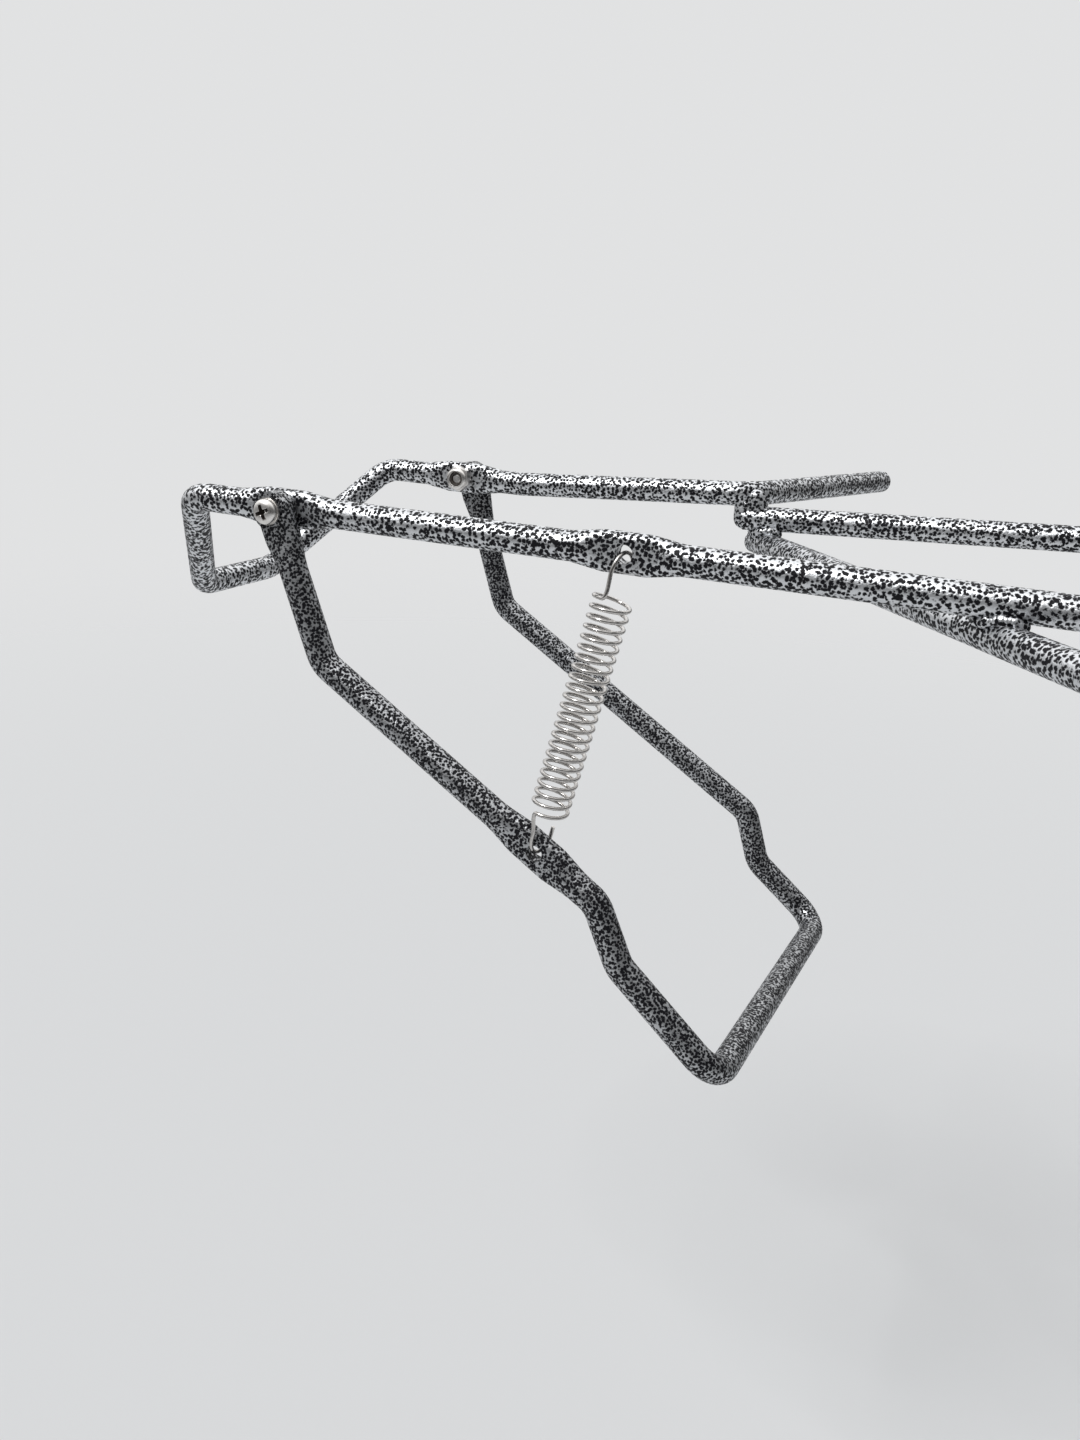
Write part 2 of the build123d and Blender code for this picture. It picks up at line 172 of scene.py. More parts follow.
def hammered_powder(name, cell, black, silver):
    """Black cells in silver: cell in metres, black is the cells' reach, silver is the grey between them."""
    material, tree, shader, coords = new_material(name)
    drift = noise(tree, coords, cell * drift_size, 2.0, 0.6, "Color")
    cells = cell_centres(tree, scaled_sum(tree, coords, drift, cell * drift_share), cell)
    ragged = value_sum(tree, cells, noise(tree, coords, cell * grain_size, 2.0, 0.6), grain_share)
    veins = value_sum(tree, ragged, noise(tree, coords, cell * patch_size, 2.0), patch_share)
    edge = black + (grain_share + patch_share) / 2
    bright_grey = tuple(silver * tint for tint in silver_tint)
    dull_grey = tuple(tone * dull_share for tone in bright_grey)
    colour = ramp(tree, veins, (edge - edge_soft, cell_black), (edge, cell_rim),
                  (edge + edge_soft, dull_grey), (edge + silver_full, bright_grey))
    metal = ramp(tree, veins, (edge + metal_from, 0.0), (edge + metal_to, coat_metallic))
    rough = ramp(tree, veins, (edge, black_rough), (edge + rough_run, silver_rough))
    tree.links.new(colour, shader.inputs["Base Color"])
    tree.links.new(metal, shader.inputs["Metallic"])
    tree.links.new(rough, shader.inputs["Roughness"])
    shader.inputs["Specular IOR Level"].default_value = coat_specular
    relief(tree, shader, veins, bump_strength, cell * coat_relief)
    return material


frame_coat = hammered_powder("frame_coat", frame_cell, frame_black, frame_silver)
# The arm takes a darker copy of the frame coat: painted shade.
arm_coat = hammered_powder("arm_coat", arm_cell, arm_shaded_black, arm_shaded_silver)


def finish(node_name, material):
    """Puts one material on a CAD node."""
    mesh = nodes[node_name].data
    mesh.materials.clear()
    mesh.materials.append(material)


for bar in ("wheel_loop", "carrier_rod", "brace_rod"):
    finish(bar, frame_coat)
finish("sprung_arm", arm_coat)

# ---- cross tube and clamp halves ----
# A 22 mm tube across the back carries the bars, and a pressed clamp half is welded to it.
# Both halves and the tube are in the same powder as the bars.
for back_piece in ("cross_tube", "clamp_back", "clamp_cap"):
    finish(back_piece, frame_coat)

# ---- welds ----
# Each joint between bars is a short run of weld drops, dressed lightly and coated over with the frame.
# A drop is a ball sunk in the groove, and drops overlap by about two thirds along the seam.
weld_drop = 1.5 * mm
drop_step = weld_drop * 0.6
smallest_drop = 0.85
largest_drop = 1.12
bar_r = 4.0 * mm
weld_lift = 0.8 * mm
seam_step = 0.7 * mm
seam_halvings = 12
tube_weld_gap = 0.3 * mm
ring_steps = 40
saddle_half_width = 15.0 * mm
saddle_half_height = 8.8 * mm
saddle_steps = 12
rod_seam_from = 1 * mm
rod_seam_to = 40 * mm
side_leg = 95 * mm
side_turn = math.radians(72.0)
corner_past_rod = 2 * mm
bend_back = 6.5 * mm
bend_cut = 2.1 * mm
brace_past = 38 * mm
brace_lean = math.radians(55.0)


def drop_tree():
    """Geometry Nodes: overlapping drops along a curve, a little uneven, with a material."""
    tree = bpy.data.node_groups.new("weld_drops", "GeometryNodeTree")
    face = tree.interface
    face.new_socket("Geometry", in_out="INPUT", socket_type="NodeSocketGeometry")
    for label, kind in (("Drop radius", "NodeSocketFloat"), ("Step", "NodeSocketFloat"),
                        ("Material", "NodeSocketMaterial")):
        face.new_socket(label, in_out="INPUT", socket_type=kind)
    face.new_socket("Geometry", in_out="OUTPUT", socket_type="NodeSocketGeometry")
    make = tree.nodes.new
    link = tree.links.new
    given, result = make("NodeGroupInput"), make("NodeGroupOutput")
    places = make("GeometryNodeCurveToPoints")
    places.mode = "LENGTH"
    link(given.outputs["Geometry"], places.inputs["Curve"])
    link(given.outputs["Step"], places.inputs["Length"])
    ball = make("GeometryNodeMeshIcoSphere")
    ball.inputs["Subdivisions"].default_value = 3
    link(given.outputs["Drop radius"], ball.inputs["Radius"])
    uneven = make("FunctionNodeRandomValue")
    uneven.inputs["Seed"].default_value = 4
    uneven.inputs[2].default_value = smallest_drop
    uneven.inputs[3].default_value = largest_drop
    drops = make("GeometryNodeInstanceOnPoints")
    link(places.outputs["Points"], drops.inputs["Points"])
    link(ball.outputs["Mesh"], drops.inputs["Instance"])
    link(uneven.outputs[1], drops.inputs["Scale"])
    real = make("GeometryNodeRealizeInstances")
    link(drops.outputs["Instances"], real.inputs["Geometry"])
    smooth = make("GeometryNodeSetShadeSmooth")
    link(real.outputs["Geometry"], smooth.inputs["Geometry"])
    paint = make("GeometryNodeSetMaterial")
    link(smooth.outputs["Geometry"], paint.inputs["Geometry"])
    link(given.outputs["Material"], paint.inputs["Material"])
    link(paint.outputs["Geometry"], result.inputs["Geometry"])
    return tree


drops = drop_tree()


def set_inputs(modifier, **values):
    """Sets a Geometry Nodes modifier's inputs by their names, spaces as underscores."""
    for item in modifier.node_group.interface.items_tree:
        key = item.name.replace(" ", "_")
        if item.in_out == "INPUT" and key in values:
            modifier[item.identifier] = values[key]


def seam_curve(name, seams):
    """Curve object with one poly spline for each list of points."""
    curve = bpy.data.curves.new(name, "CURVE")
    curve.dimensions = "3D"
    for points in seams:
        spline = curve.splines.new("POLY")
        spline.points.add(len(points) - 1)
        for target, point in zip(spline.points, points):
            target.co = (*point, 1.0)
    return curve


def settled(name, curve, tree, **values):
    """Runs a Geometry Nodes tree on a curve and keeps the result as a plain mesh object."""
    source = bpy.data.objects.new(name + "_source", curve)
    bpy.context.collection.objects.link(source)
    modifier = source.modifiers.new("build", "NODES")
    modifier.node_group = tree
    set_inputs(modifier, **values)
    evaluated = source.evaluated_get(bpy.context.evaluated_depsgraph_get())
    mesh = bpy.data.meshes.new_from_object(evaluated)
    bpy.data.objects.remove(source)
    piece = bpy.data.objects.new(name, mesh)
    bpy.context.collection.objects.link(piece)
    return piece


def ring(centre, axis, radius):
    """Points of a closed ring round an axis, from straight up."""
    axis = Vector(axis).normalized()
    up = (Vector((0, 0, 1)) - axis * axis.z).normalized()
    side = axis.cross(up)
    turns = [math.radians(360.0 * i / ring_steps) for i in range(ring_steps + 1)]
    return [Vector(centre) + (up * math.cos(t) + side * math.sin(t)) * radius for t in turns]


pivot = Vector(frame["joints"][0]["pos_m"])
tube_low, tube_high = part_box("cross_tube")
tube_axis = (tube_low + tube_high) / 2
tube_r = (tube_high.x - tube_low.x) / 2
rod_low, rod_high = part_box("carrier_rod")
near_leg_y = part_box("wheel_loop")[0].y + bar_r
far_leg_y = rod_low.y + bar_r


def nearest_on(axis, point):
    """Nearest place to a point on a line of straight runs."""
    places = []
    for start, end in zip(axis, axis[1:]):
        run = end - start
        share = min(max((point - start).dot(run) / run.length_squared, 0.0), 1.0)
        places.append(start + run * share)
    return min(places, key=lambda place: (place - point).length)


def groove_seam(bar, other):
    """Closed weld seam in the groove where two bars touch: bar is two points, other a line of points."""
    start, end = bar
    along = (end - start).normalized()
    reach = bar_r + weld_lift
    sides = ([], [])
    for count in range(int((end - start).length / seam_step) + 1):
        middle = start + along * (count * seam_step)
        toward = nearest_on(other, middle) - middle
        toward = (toward - along * toward.dot(along)).normalized()
        across = along.cross(toward)

        def place(turn):
            """Place just off the bar's surface, turned from the other bar's side."""
            return middle + (toward * math.cos(turn) + across * math.sin(turn)) * reach

        if (place(0.0) - nearest_on(other, place(0.0))).length > reach:
            continue
        for side, sign in zip(sides, (1, -1)):
            inside, outside = 0.0, math.pi
            for _ in range(seam_halvings):
                turn = (inside + outside) / 2
                if (place(sign * turn) - nearest_on(other, place(sign * turn))).length < reach:
                    inside = turn
                else:
                    outside = turn
            side.append(place(sign * inside))
    loop = sides[0] + sides[1][::-1]
    return loop + loop[:1]


def tube_seam(bar_y, bar_z):
    """Seam where a bar runs square into the cross tube."""
    points = []
    for point in ring((0, bar_y, bar_z), (1, 0, 0), bar_r + tube_weld_gap):
        reach = math.sqrt(max(tube_r**2 - (point.z - tube_axis.z)**2, 0.0))
        points.append(Vector((tube_axis.x - reach, point.y, point.z)))
    return points


def saddle_seam(half_width, half_height):
    """Seam round the clamp's block where it sits on the cross tube."""
    points = []
    for y_side, z_from, z_to in ((-1, -1, 1), (1, 1, -1)):
        for count in range(saddle_steps + 1):
            z = half_height * (z_from + (z_to - z_from) * count / saddle_steps)
            points.append(Vector((tube_axis.x + math.sqrt(tube_r**2 - z**2), y_side * half_width, z)))
    return points + points[:1]


rod_front = Vector((rod_low.x, far_leg_y, rod_low.z + bar_r))
rod_back = Vector((tube_axis.x, far_leg_y, rod_high.z - bar_r))
far_corner = rod_front + Vector((corner_past_rod, 0, 2 * bar_r))
side_run = Vector((math.cos(side_turn), math.sin(side_turn), 0))
bend_middle = far_corner + (side_run - Vector((1, 0, 0))).normalized() * bend_cut
far_leg_axis = [Vector((pivot.x, far_leg_y, pivot.z)), far_corner - Vector((bend_back, 0, 0)), bend_middle,
                far_corner + side_run * bend_back, far_corner + side_run * side_leg]
brace_far = rod_front + Vector((2 * bar_r, 0, -2 * bar_r))
brace_near = Vector((brace_far.x + 2 * far_leg_y / math.tan(brace_lean), near_leg_y, pivot.z - 2 * bar_r))
brace_run = (brace_near - brace_far).normalized()
brace_axis = [brace_far - brace_run * bar_r, brace_near + brace_run * brace_past]
rod_along = (rod_back - rod_front).normalized()
rod_start = [rod_front + rod_along * rod_seam_from, rod_front + rod_along * rod_seam_to]
near_leg_axis = [Vector((pivot.x, near_leg_y, pivot.z)), Vector((tube_axis.x, near_leg_y, pivot.z))]
weld_seams = [
    groove_seam(rod_start, far_leg_axis),
    groove_seam(brace_axis, [rod_front + rod_along * bar_r * 0.5, rod_back]),
    groove_seam(brace_axis, near_leg_axis),
    tube_seam(near_leg_y, pivot.z),
    tube_seam(far_leg_y, rod_back.z),
    saddle_seam(saddle_half_width, saddle_half_height),
]
welds = settled("weld_beads", seam_curve("weld_beads", weld_seams), drops, Drop_radius=weld_drop,
                Step=drop_step, Material=frame_coat)
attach(welds, "frame")

# ---- corner weld ----
# At the far corner the carrier rod starts under the bend of the loop, and the brace under the rod.
# The gaps between the three are filled with weld, dressed smooth and coated over with the frame.
web_balls = 9
web_grain = 0.4 * mm
web_smoothing = 14
nose_in = 0.6 * mm
web_thin = 2.6 * mm
web_full = 3.7 * mm


def settled_mesh(name, mesh, modifiers):
    """Plain mesh left after running modifiers, each (kind, settings), on a mesh."""
    source = bpy.data.objects.new(name + "_source", mesh)
    bpy.context.collection.objects.link(source)
    for kind, settings in modifiers:
        modifier = source.modifiers.new(kind, kind)
        for key, value in settings.items():
            setattr(modifier, key, value)
    result = bpy.data.meshes.new_from_object(source.evaluated_get(bpy.context.evaluated_depsgraph_get()))
    bpy.data.objects.remove(source)
    return result


def weld_web(name, runs):
    """Smooth filled weld through runs of (start, start radius, end, end radius)."""
    mesh = bpy.data.meshes.new(name)
    build = bmesh.new()
    for start, start_r, end, end_r in runs:
        for i in range(web_balls):
            share = i / (web_balls - 1)
            place = Matrix.Translation(start + (end - start) * share)
            bmesh.ops.create_icosphere(build, subdivisions=3, radius=start_r + (end_r - start_r) * share,
                                       matrix=place)
    build.to_mesh(mesh)
    build.free()
    return settled_mesh(name, mesh, [
        ("REMESH", {"mode": "VOXEL", "voxel_size": web_grain, "use_smooth_shade": True}),
        ("SMOOTH", {"factor": 0.5, "iterations": web_smoothing})])


corner_low = far_corner - Vector((2.6 * mm, 0, 1.6 * mm))
corner_under = far_corner + Vector((1.5 * mm, 0, -1.0 * mm))
rod_nose = rod_front + Vector((nose_in, 0, 0))
brace_nose = brace_axis[0] + brace_run * nose_in
web = weld_web("weld_web", [
    (corner_low, 2.9 * mm, rod_nose, 3.9 * mm),
    (corner_under, 3.2 * mm, rod_nose + rod_along * 5 * mm, web_full),
    (rod_nose + rod_along * 3 * mm, web_thin, brace_nose + brace_run * 1.5 * mm, web_full)])
web.materials.append(frame_coat)
web_piece = bpy.data.objects.new("weld_web", web)
bpy.context.collection.objects.link(web_piece)
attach(web_piece, "frame")

# ---- pivot screws ----
# A pan-head machine screw with a cross recess pins each ear of the arm to the loop.
# It is cold headed and rolled from steel wire and zinc plated bright; the bottom of the recess gets a
# near-black material, painted shade with some oily dirt.
head_r = 3.45 * mm
head_high = 2.5 * mm
head_rim = 1.0 * mm
shank_r = 1.75 * mm
screw_pitch = 0.8 * mm
recess_reach = 2.1 * mm
recess_depth = 1.9 * mm
recess_slot = 0.5 * mm
recess_bottom = 0.45, 0.6
recess_mouth = 1.22, 1.25
recess_core = 0.5 * mm, 1.05 * mm
recess_above = 0.5 * mm
recess_stagger = 0.06 * mm
core_extra = 0.8 * mm
head_edge_in = 0.15 * mm
head_edge_up = 0.12 * mm
tip_sunk = 2.0 * mm
tip_taper = 0.5 * mm
thread_in = 0.3 * mm
thread_out = 0.1 * mm
neck_long = 2.9 * mm
near_recess_turn = 24.0
far_recess_turn = 61.0
screw_steps = 60
dome_rows = 12
dome_fullness = 0.72
dome_rise = 0.9
rows_per_turn = 6
thread_depth = 0.3
zinc_dark = (0.70, 0.68, 0.655)
zinc_pale = (0.84, 0.82, 0.80)
# Near-black tones of painted shade in the screw recesses, with some oily dirt; the nylon rings take the
# same material.
shade_and_nylon_dark = (0.012, 0.010, 0.009)
shade_and_nylon_pale = (0.07, 0.055, 0.045)
painted_shade_below = 0.3 * mm
painted_shade_within = 1.2       # of the recess's reach
smooth_beyond = 1.3
level_enough = 0.7


def bright_zinc():
    """Zinc plate: bright, cloudy, with fine handling marks."""
    material, tree, shader, coords = new_material("bright_zinc")
    cloud = noise(tree, coords, 1.6 * mm, 4.0, 0.6)
    tree.links.new(ramp(tree, cloud, (0.3, zinc_dark), (0.7, zinc_pale)), shader.inputs["Base Color"])
    tree.links.new(ramp(tree, cloud, (0.3, 0.24), (0.7, 0.36)), shader.inputs["Roughness"])
    shader.inputs["Metallic"].default_value = 1.0
    relief(tree, shader, noise(tree, coords, 0.35 * mm, 2.0), 0.2, 0.04 * mm)
    return material


def recess_dirt():
    """Near-black material: painted shade with some oily dirt at the bottom of a screw recess, and the dark
    nylon ring's own colour.
    """
    material, tree, shader, coords = new_material("recess_dirt")
    cloud = noise(tree, coords, 0.5 * mm, 3.0)
    tree.links.new(ramp(tree, cloud, (0.3, shade_and_nylon_dark), (0.8, shade_and_nylon_pale)), shader.inputs["Base Color"])
    shader.inputs["Roughness"].default_value = 0.6
    return material


zinc = bright_zinc()
shade_and_nylon = recess_dirt()


def turned(name, profile_at, steps):
    """Closed turned mesh along Z. profile_at(angle) lists (radius, height), and a zero radius is a pole."""
    mesh = bpy.data.meshes.new(name)
    build = bmesh.new()
    columns = [profile_at(2 * math.pi * i / steps) for i in range(steps)]
    rows = []
    for row in range(len(columns[0])):
        if columns[0][row][0] == 0:
            rows.append([build.verts.new((0, 0, columns[0][row][1]))] * steps)
            continue
        rows.append([build.verts.new((column[row][0] * math.cos(2 * math.pi * i / steps),
                                      column[row][0] * math.sin(2 * math.pi * i / steps), column[row][1]))
                     for i, column in enumerate(columns)])
    closed = rows if columns[0][0][0] == 0 else rows + rows[:1]
    for low, high in zip(closed, closed[1:]):
        for i in range(steps):
            j = (i + 1) % steps
            corners = list(dict.fromkeys((low[i], low[j], high[j], high[i])))
            build.faces.new(corners)
    bmesh.ops.recalc_face_normals(build, faces=build.faces)
    build.to_mesh(mesh)
    build.free()
    return mesh


def threaded(radius, low, high, pitch, angle):
    """Profile rows of a rolled thread from low to high, at one angle."""
    rows = []
    count = int((high - low) / pitch * rows_per_turn)
    for i in range(count + 1):
        height = low + (high - low) * i / count
        phase = (height / pitch - angle / (2 * math.pi)) % 1.0
        rows.append((radius - pitch * thread_depth * abs(2 * phase - 1), height))
    return rows


def dome(rim_r, rim_z, top_z):
    """Profile rows of a dome from its rim up to its top, ending on the axis."""
    rise = top_z - rim_z
    points = []
    for i in range(dome_rows):
        turn = math.pi / 2 * i / dome_rows
        points.append((rim_r * math.cos(turn)**dome_fullness, rim_z + rise * math.sin(turn)**dome_rise))
    return points + [(0, top_z)]


def cross_cutter():
    """Tapered cross that cuts the recess, with its centre line up Z."""
    mesh = bpy.data.meshes.new("cross_cutter")
    build = bmesh.new()
    top = head_high + recess_above
    bottom = head_high - recess_depth
    for turn, extra in ((0.0, 0.0), (math.pi / 2, recess_stagger)):
        corners = []
        for z, (reach, slot) in ((bottom - extra, recess_bottom), (top + extra, recess_mouth)):
            for x_sign, y_sign in ((-1, -1), (1, -1), (1, 1), (-1, 1)):
                place = Vector((x_sign * recess_reach * reach, y_sign * recess_slot * slot, z))
                corners.append(build.verts.new(Matrix.Rotation(turn, 3, "Z") @ place))
        for face in ((3, 2, 1, 0), (4, 5, 6, 7), (0, 1, 5, 4), (1, 2, 6, 5), (2, 3, 7, 6), (3, 0, 4, 7)):
            build.faces.new([corners[i] for i in face])
    core = bmesh.ops.create_cone(build, cap_ends=True, segments=16, radius1=recess_core[0],
                                 radius2=recess_core[1], depth=recess_depth + core_extra)
    bmesh.ops.translate(build, verts=core["verts"], vec=(0, 0, (bottom + top) / 2))
    build.to_mesh(mesh)
    build.free()
    return mesh


def placed(name, mesh, origin, outward, turn, *materials):
    """Object with its mesh turned about its own axis, laid along outward and moved to origin."""
    own = mesh.copy()
    lay = Vector(outward).to_track_quat("Z", "Y").to_matrix().to_4x4()
    own.transform(Matrix.Translation(origin) @ lay @ Matrix.Rotation(math.radians(turn), 4, "Z"))
    for material in materials:
        own.materials.append(material)
    piece = bpy.data.objects.new(name, own)
    bpy.context.collection.objects.link(piece)
    return piece


def screw_profile(angle):
    """Pan head, neck and thread, from the tip up to the top of the head."""
    shank = screw_length - tip_sunk
    tip = [(0, -shank), (shank_r - tip_taper, -shank)]
    thread = threaded(shank_r, -shank + thread_in, -neck_long - thread_out, screw_pitch, angle)
    neck = [(shank_r, -neck_long), (shank_r, 0.0)]
    under = [(head_r - head_edge_in, 0.0), (head_r, head_edge_up), (head_r, head_rim)]
    return tip + thread + neck + under + dome(head_r, head_rim, head_high)[1:]


near_screw_low, near_screw_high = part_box("near_pivot_screw")
screw_length = near_screw_high.y - near_screw_low.y - head_high
screw_body = turned("screw_body", screw_profile, screw_steps)
cutter = bpy.data.objects.new("cutter", cross_cutter())
bpy.context.collection.objects.link(cutter)
screw_mesh = settled_mesh("pivot_screw", screw_body, [
    ("BOOLEAN", {"operation": "DIFFERENCE", "object": cutter, "solver": "EXACT", "use_self": True})])
bpy.data.objects.remove(cutter)
# Faces deep in the cross recess take the second, near-black material: painted shade, with some oily dirt.
for face in screw_mesh.polygons:
    out = face.center.xy.length
    face.use_smooth = out > recess_reach * smooth_beyond or face.normal.z > level_enough
    sunk = head_high - recess_depth - 0.1 * mm < face.center.z < head_high - painted_shade_below
    face.material_index = 1 if sunk and out < recess_reach * painted_shade_within else 0
for word, side, turn in (("near", -1, near_recess_turn), ("far", 1, far_recess_turn)):
    low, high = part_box(f"{word}_pivot_screw")
    head_seat = low.y + head_high if side < 0 else high.y - head_high
    screw = placed(f"{word}_cross_screw", screw_mesh, (pivot.x, head_seat, pivot.z), (0, side, 0), turn,
                   zinc, shade_and_nylon)
    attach(screw, "frame")
    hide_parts(f"{word}_pivot_screw")

# ---- pivot washers ----
# A small stamped washer lies under each screw head, and another keeps the ear off the leg.
# Both are steel, zinc plated like the screws.
for word in ("near", "far"):
    finish(f"{word}_spacer_washer", zinc)
    finish(f"{word}_screw_washer", zinc)

# ---- lock nuts ----
# A zinc-plated lock nut closes each pivot on the inside: a chamfered hexagon with a rolled collar,
# which traps a dark nylon ring that grips the screw.
collar = 1.5 * mm
collar_inset = 0.35 * mm
lip_rows = ((0.0, 0.7), (0.2, 0.25), (0.6, 0.0), (1.0, 0.0), (1.15, 0.2))     # mm inward, mm below the top
lip_in = lip_rows[-1][0] * mm
nylon_sunk = 0.45 * mm
nylon_round = 0.25 * mm
nylon_shoulder = 0.7 * mm
thread_gap = 0.02 * mm
bore_lead_wide = 0.4 * mm
bore_lead_deep = 0.5 * mm
hex_crown = 0.97
hex_chamfer = math.radians(30.0)
nut_turn = 12.0
nut_steps = 60
nylon_steps = 40
crisp_edge = math.radians(35.0)


def hex_radius(across_flats, angle):
    """Distance from a hexagon's middle to its side at an angle."""
    turn = (angle + math.pi / 6) % (math.pi / 3) - math.pi / 6
    return across_flats / 2 / math.cos(turn)


def hex_rows(across_flats, low, high, angle, chamfer_low=True):
    """Outer profile rows of a hexagon from low to high, with its corners turned off at 30 degrees."""
    corner = hex_radius(across_flats, angle)
    crown = across_flats / 2 * hex_crown
    drop = (corner - crown) * math.tan(hex_chamfer)
    rows = [(crown, low), (corner, low + drop)] if chamfer_low else [(corner, low)]
    return rows + [(corner, high - drop), (crown, high)]


nut_low, nut_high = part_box("near_lock_nut")
nut_flats = nut_high.z - nut_low.z
nut_deep = nut_high.y - nut_low.y
ring_floor = nut_deep - collar * 0.9


def lock_nut_profile(angle):
    """Hexagon, rolled collar and countersunk bore."""
    outer = hex_rows(nut_flats, 0.0, nut_deep - collar, angle)
    lip = nut_flats / 2 - collar_inset
    rolled = [(lip - inward * mm, nut_deep - below * mm) for inward, below in lip_rows]
    bore = [(shank_r + thread_gap, nut_deep - collar), (shank_r + thread_gap, bore_lead_deep),
            (shank_r + bore_lead_wide, 0.0)]
    return outer + [(lip, nut_deep - collar)] + rolled + [(lip - lip_in, ring_floor)] + bore


def nylon_profile(angle):
    """Ring under the rolled lip."""
    reach = nut_flats / 2 - collar_inset - lip_in
    return [(reach, ring_floor), (reach, nut_deep - nylon_sunk),
            (shank_r + nylon_round, nut_deep - nylon_sunk), (shank_r, nut_deep - nylon_shoulder),
            (shank_r, ring_floor)]


nut_mesh = turned("lock_nut", lock_nut_profile, nut_steps)
nylon_mesh = turned("nylon_ring", nylon_profile, nylon_steps)


def soften(mesh):
    """Smooth shading, with the sharper edges left crisp."""
    mesh.shade_smooth()
    mesh.set_sharp_from_angle(angle=crisp_edge)


soften(nut_mesh)
soften(nylon_mesh)
for word, side in (("near", -1), ("far", 1)):
    low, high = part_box(f"{word}_lock_nut")
    seat = low.y if side < 0 else high.y
    seat_place = (pivot.x, seat, pivot.z)
    nut = placed(f"{word}_nut_body", nut_mesh, seat_place, (0, -side, 0), nut_turn, zinc)
    ring_piece = placed(f"{word}_nylon_ring", nylon_mesh, seat_place, (0, -side, 0), 0.0, shade_and_nylon)
    for part in (nut, ring_piece):
        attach(part, "frame")
    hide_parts(f"{word}_lock_nut")

# ---- extension spring ----
# Coiled stainless wire, drawn bright, stretched between the near leg and the arm.
# A half loop at each end goes through a hole, and the coils are laid once between the two holes.
wire_r = 0.55 * mm
wire_sides = 12
coil_r = 4.95 * mm
turns = 22
turn_points = 40
hook_r = 4.0 * mm
hook_reach = 12.0 * mm
hook_lift = 0.2 * mm
hook_bow = 5.6 * mm
hook_lean = math.radians(20.0)
hook_leave = 6 * mm
hook_arrive = 5 * mm
hook_steps = 14
loop_steps = 24
top_tail = 0.8 * mm
foot_tail = 3.0 * mm
top_eye_back = 101.0 * mm
foot_eye_back = 84.835 * mm
foot_eye_down = 82.87 * mm
wire_dark = (0.46, 0.445, 0.43)
wire_pale = (0.66, 0.64, 0.62)
near_arm_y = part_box("sprung_arm")[0].y + bar_r
top_eye = Vector((pivot.x + top_eye_back, near_leg_y, pivot.z))
foot_eye = Vector((pivot.x + foot_eye_back, near_arm_y, pivot.z - foot_eye_down))


def stainless_wire():
    """Drawn stainless wire: bright, with faint draw marks."""
    material, tree, shader, coords = new_material("stainless_wire")
    marks = noise(tree, coords, 0.5 * mm, 3.0, 0.6)
    tree.links.new(ramp(tree, marks, (0.3, wire_dark), (0.7, wire_pale)), shader.inputs["Base Color"])
    tree.links.new(ramp(tree, marks, (0.3, 0.12), (0.7, 0.22)), shader.inputs["Roughness"])
    shader.inputs["Metallic"].default_value = 1.0
    return material


def eased(start, start_way, end, end_way, count):
    """Smooth run of points between two places with a direction at each."""
    points = []
    for i in range(1, count + 1):
        t = i / count
        a, b = 2 * t**3 - 3 * t**2 + 1, t**3 - 2 * t**2 + t
        c, d = -2 * t**3 + 3 * t**2, t**3 - t**2
        points.append(start * a + start_way * b + end * c + end_way * d)
    return points


def hook_points(base_z, up, way, tail):
    """Half loop from the coil's end through its hole, with a straight tail back down."""
    crest = hook_reach + hook_lift
    shoulder = Vector((hook_r, 0, base_z + up * (crest - hook_bow)))
    points = eased(Vector((coil_r, 0, base_z)), Vector((0, way, 0)) * hook_leave, shoulder,
                   Vector((0, 0, up)) * hook_arrive, hook_steps)
    for i in range(1, loop_steps + 1):
        turn = math.pi * i / loop_steps
        drop = hook_bow if turn < math.pi / 2 else hook_r
        height = crest - drop * (1 - math.sin(turn))
        points.append(Vector((hook_r * math.cos(turn), 0, base_z + up * height)))
    points.append(Vector((-hook_r, 0, base_z + up * (crest - hook_r - tail))))
    return points


pull = top_eye - foot_eye
body_long = pull.length - 2 * hook_reach
helix = []
for i in range(turns * turn_points + 1):
    turn = 2 * math.pi * i / turn_points
    climb = body_long * i / (turns * turn_points)
    helix.append(Vector((coil_r * math.cos(turn), coil_r * math.sin(turn), climb)))
foot_hook = hook_points(0.0, -1, -1, foot_tail)[::-1]
wire_line = foot_hook + helix + hook_points(body_long, 1, 1, top_tail)
pull_way = pull.normalized()
hook_side = Vector((-math.sin(hook_lean), -math.cos(hook_lean), 0))
hook_way = (hook_side - pull_way * pull_way.dot(hook_side)).normalized()
spring_turn = Matrix((hook_way, pull_way.cross(hook_way), pull_way)).transposed()
spring_seat = foot_eye + pull_way * hook_reach


